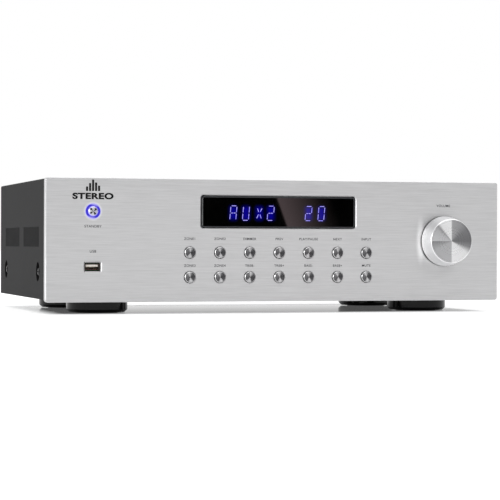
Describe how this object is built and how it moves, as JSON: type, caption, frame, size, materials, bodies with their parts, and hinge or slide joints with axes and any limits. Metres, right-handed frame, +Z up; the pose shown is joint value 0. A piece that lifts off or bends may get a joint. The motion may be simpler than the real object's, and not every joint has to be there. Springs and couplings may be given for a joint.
{
  "type": "stereo receiver",
  "caption": "Full-width stereo receiver: brushed aluminium front with display, round buttons, large volume knob and USB socket, black vented steel case, round feet.",
  "frame": {"origin": "on the floor, below the middle of the whole object", "axes": "+X to the right seen from the front, +Y to the rear, +Z up"},
  "size_m": [0.43, 0.2884, 0.1214],
  "materials": {
    "brushed_aluminium": "fine horizontal brushing, clear anodised",
    "turned_aluminium": "turned, with a spun face",
    "turned_button": "turned and plated, with a spun face",
    "bezel_plastic": "moulded, satin",
    "smoked_acrylic": "polished smoked acrylic",
    "display_glass": "dark glass module",
    "light_ring": "lit blue diffuser",
    "black_plastic": "moulded",
    "gloss_black_plastic": "moulded, polished",
    "red_plastic": "moulded",
    "white_plastic": "moulded, white upper row and red lower row",
    "usb_plastic": "moulded",
    "plated_steel": "folded, tin plated",
    "nickel_brass": "turned, nickel plated",
    "steel": "zinc plated",
    "zinc_steel": "folded zinc coated sheet",
    "black_steel": "folded sheet, matt black powder coat",
    "black_screw": "black zinc",
    "rubber_pad": "moulded",
    "circuit_board": "solder masked laminate",
    "capacitor_sleeve": "shrunk sleeve",
    "anodised_aluminium": "extruded, black anodised",
    "ribbon": "grey flat cable",
    "lamination_steel": "varnished laminations",
    "copper_winding": "taped copper winding"
  },
  "bodies": {
    "receiver": {"front_panel": "brushed_aluminium", "display_bezel": "bezel_plastic", "display_lens": "smoked_acrylic", "display_module": "display_glass", "standby_light_ring": "light_ring", "button_guide_frame": "black_plastic", "usb_socket_shell": "plated_steel", "usb_socket_tongue": "usb_plastic", "volume_encoder": "steel", "encoder_nut": "nickel_brass", "control_board": "circuit_board", "tact_switches": "black_plastic", "front_chassis": "zinc_steel", "base_pan": "zinc_steel", "rear_panel": "black_steel", "top_cover": "black_steel", "feet": "gloss_black_plastic", "foot_pads": "rubber_pad", "cover_side_screws": "black_screw", "cover_rear_screws": "black_screw", "chassis_screws": "steel", "board_standoffs": "nickel_brass", "power_board": "circuit_board", "filter_capacitors": "capacitor_sleeve", "amplifier_board": "circuit_board", "heat_sink": "anodised_aluminium", "amplifier_chips": "black_plastic", "ribbon_cable": "ribbon", "transformer_core": "lamination_steel", "transformer_winding": "copper_winding", "transformer_bracket": "zinc_steel", "speaker_sockets_black": "gloss_black_plastic", "speaker_sockets_red": "red_plastic", "speaker_socket_contacts": "nickel_brass", "input_board": "circuit_board", "rca_shells": "nickel_brass", "rca_insulators": "white_plastic", "antenna_socket": "nickel_brass", "mains_inlet": "black_plastic", "mains_inlet_pins": "nickel_brass", "power_switch_housing": "black_plastic"},
    "button_zone_1": {"button_zone_1": "turned_button"},
    "button_zone_2": {"button_zone_2": "turned_button"},
    "button_dimmer": {"button_dimmer": "turned_button"},
    "button_previous": {"button_previous": "turned_button"},
    "button_play_pause": {"button_play_pause": "turned_button"},
    "button_next": {"button_next": "turned_button"},
    "button_input": {"button_input": "turned_button"},
    "button_zone_3": {"button_zone_3": "turned_button"},
    "button_zone_4": {"button_zone_4": "turned_button"},
    "button_treble_down": {"button_treble_down": "turned_button"},
    "button_treble_up": {"button_treble_up": "turned_button"},
    "button_bass_down": {"button_bass_down": "turned_button"},
    "button_bass_up": {"button_bass_up": "turned_button"},
    "button_mute": {"button_mute": "turned_button"},
    "standby_button": {"standby_button": "turned_button"},
    "volume_control": {"volume_knob": "turned_aluminium", "knob_insert": "black_plastic", "encoder_shaft": "steel"},
    "rocker": {"power_rocker": "gloss_black_plastic"}
  },
  "joints": [
    {"name": "push_zone_1", "type": "slide", "parent": "receiver", "child": "button_zone_1", "axis": [0, 1, 0], "range_m": [0, 0.0006], "stiffness_N_per_m": 600, "springref_m": -0.0005},
    {"name": "push_zone_2", "type": "slide", "parent": "receiver", "child": "button_zone_2", "axis": [0, 1, 0], "range_m": [0, 0.0006], "stiffness_N_per_m": 600, "springref_m": -0.0005},
    {"name": "push_dimmer", "type": "slide", "parent": "receiver", "child": "button_dimmer", "axis": [0, 1, 0], "range_m": [0, 0.0006], "stiffness_N_per_m": 600, "springref_m": -0.0005},
    {"name": "push_previous", "type": "slide", "parent": "receiver", "child": "button_previous", "axis": [0, 1, 0], "range_m": [0, 0.0006], "stiffness_N_per_m": 600, "springref_m": -0.0005},
    {"name": "push_play_pause", "type": "slide", "parent": "receiver", "child": "button_play_pause", "axis": [0, 1, 0], "range_m": [0, 0.0006], "stiffness_N_per_m": 600, "springref_m": -0.0005},
    {"name": "push_next", "type": "slide", "parent": "receiver", "child": "button_next", "axis": [0, 1, 0], "range_m": [0, 0.0006], "stiffness_N_per_m": 600, "springref_m": -0.0005},
    {"name": "push_input", "type": "slide", "parent": "receiver", "child": "button_input", "axis": [0, 1, 0], "range_m": [0, 0.0006], "stiffness_N_per_m": 600, "springref_m": -0.0005},
    {"name": "push_zone_3", "type": "slide", "parent": "receiver", "child": "button_zone_3", "axis": [0, 1, 0], "range_m": [0, 0.0006], "stiffness_N_per_m": 600, "springref_m": -0.0005},
    {"name": "push_zone_4", "type": "slide", "parent": "receiver", "child": "button_zone_4", "axis": [0, 1, 0], "range_m": [0, 0.0006], "stiffness_N_per_m": 600, "springref_m": -0.0005},
    {"name": "push_treble_down", "type": "slide", "parent": "receiver", "child": "button_treble_down", "axis": [0, 1, 0], "range_m": [0, 0.0006], "stiffness_N_per_m": 600, "springref_m": -0.0005},
    {"name": "push_treble_up", "type": "slide", "parent": "receiver", "child": "button_treble_up", "axis": [0, 1, 0], "range_m": [0, 0.0006], "stiffness_N_per_m": 600, "springref_m": -0.0005},
    {"name": "push_bass_down", "type": "slide", "parent": "receiver", "child": "button_bass_down", "axis": [0, 1, 0], "range_m": [0, 0.0006], "stiffness_N_per_m": 600, "springref_m": -0.0005},
    {"name": "push_bass_up", "type": "slide", "parent": "receiver", "child": "button_bass_up", "axis": [0, 1, 0], "range_m": [0, 0.0006], "stiffness_N_per_m": 600, "springref_m": -0.0005},
    {"name": "push_mute", "type": "slide", "parent": "receiver", "child": "button_mute", "axis": [0, 1, 0], "range_m": [0, 0.0006], "stiffness_N_per_m": 600, "springref_m": -0.0005},
    {"name": "push_standby", "type": "slide", "parent": "receiver", "child": "standby_button", "axis": [0, 1, 0], "range_m": [0, 0.0006], "stiffness_N_per_m": 600, "springref_m": -0.0005},
    {"name": "volume_turn", "type": "hinge", "parent": "receiver", "child": "volume_control", "pos_m": [0.1613, -0.12585, 0.06615], "axis": [0, 1, 0], "continuous": true},
    {"name": "power_tilt", "type": "hinge", "parent": "receiver", "child": "rocker", "pos_m": [-0.178, 0.13165, 0.0829], "axis": [-1, 0, 0], "range_deg": [0, 18]}
  ]
}
